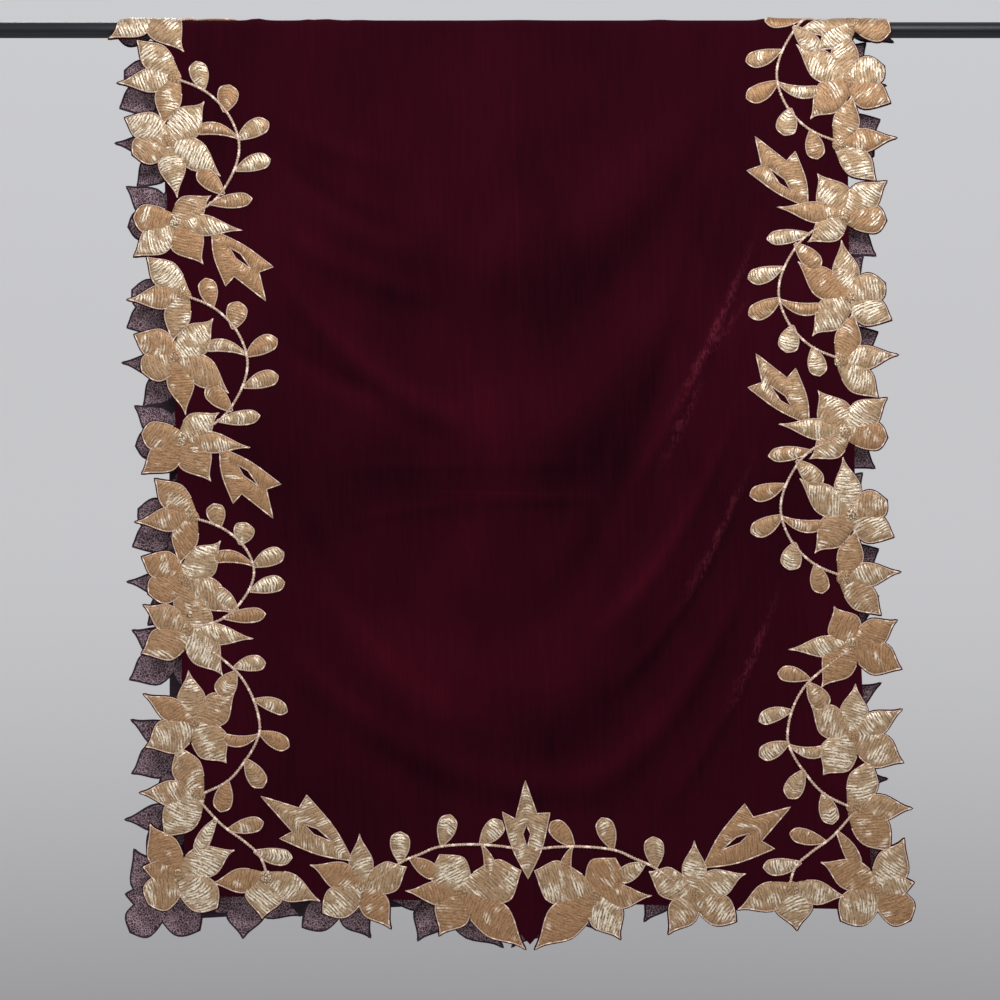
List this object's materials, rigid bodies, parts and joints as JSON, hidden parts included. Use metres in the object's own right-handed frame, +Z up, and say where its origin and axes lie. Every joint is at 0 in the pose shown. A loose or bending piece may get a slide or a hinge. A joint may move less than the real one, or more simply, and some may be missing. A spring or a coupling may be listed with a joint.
{
  "type": "evening stole on rod",
  "caption": "Velvet evening stole folded over a round rod, with a cutwork border of raised gold embroidered flowers, vines and leaves.",
  "frame": {"origin": "middle of the rod, on its centre line, where the part is held", "axes": "+X along the rod, to the right when facing the front fall; +Y from the front fall to the back fall; +Z up"},
  "size_m": [1.24, 0.0414, 1.1226],
  "materials": {
    "velvet_burgundy": "cut-pile velvet, soft sheen",
    "gold_thread": "metallic thread in satin stitch",
    "rod_black": "black, half gloss"
  },
  "bodies": {
    "root": {"rod": "rod_black", "velvet_front_fall": "velvet_burgundy", "velvet_over_rod": "velvet_burgundy", "velvet_back_fall": "velvet_burgundy", "front_fold_flower_left": "gold_thread", "front_spray_left_upper": "gold_thread", "front_spray_left_middle": "gold_thread", "front_turn_spray_left": "gold_thread", "front_spray_left_lower": "gold_thread", "front_corner_flower_left": "gold_thread", "front_corner_spray_left": "gold_thread", "front_spray_right_upper": "gold_thread", "front_spray_right_middle": "gold_thread", "front_spray_right_lower": "gold_thread", "front_turn_spray_right": "gold_thread", "front_corner_flower_right": "gold_thread", "front_corner_spray_right": "gold_thread", "front_hem_flower_left": "gold_thread", "front_hem_flower_right": "gold_thread", "front_hem_fork_centre": "gold_thread", "front_hem_spray_left": "gold_thread", "front_hem_spray_right": "gold_thread", "back_fold_flower_right": "gold_thread", "back_spray_right_upper": "gold_thread", "back_spray_right_middle": "gold_thread", "back_turn_spray_right": "gold_thread", "back_spray_right_lower": "gold_thread", "back_corner_flower_right": "gold_thread", "back_corner_spray_right": "gold_thread", "back_spray_left_upper": "gold_thread", "back_spray_left_middle": "gold_thread", "back_spray_left_lower": "gold_thread", "back_turn_spray_left": "gold_thread", "back_corner_flower_left": "gold_thread", "back_corner_spray_left": "gold_thread", "back_hem_flower_right": "gold_thread", "back_hem_flower_left": "gold_thread", "back_hem_fork_centre": "gold_thread", "back_hem_spray_right": "gold_thread", "back_hem_spray_left": "gold_thread"}
  },
  "joints": []
}
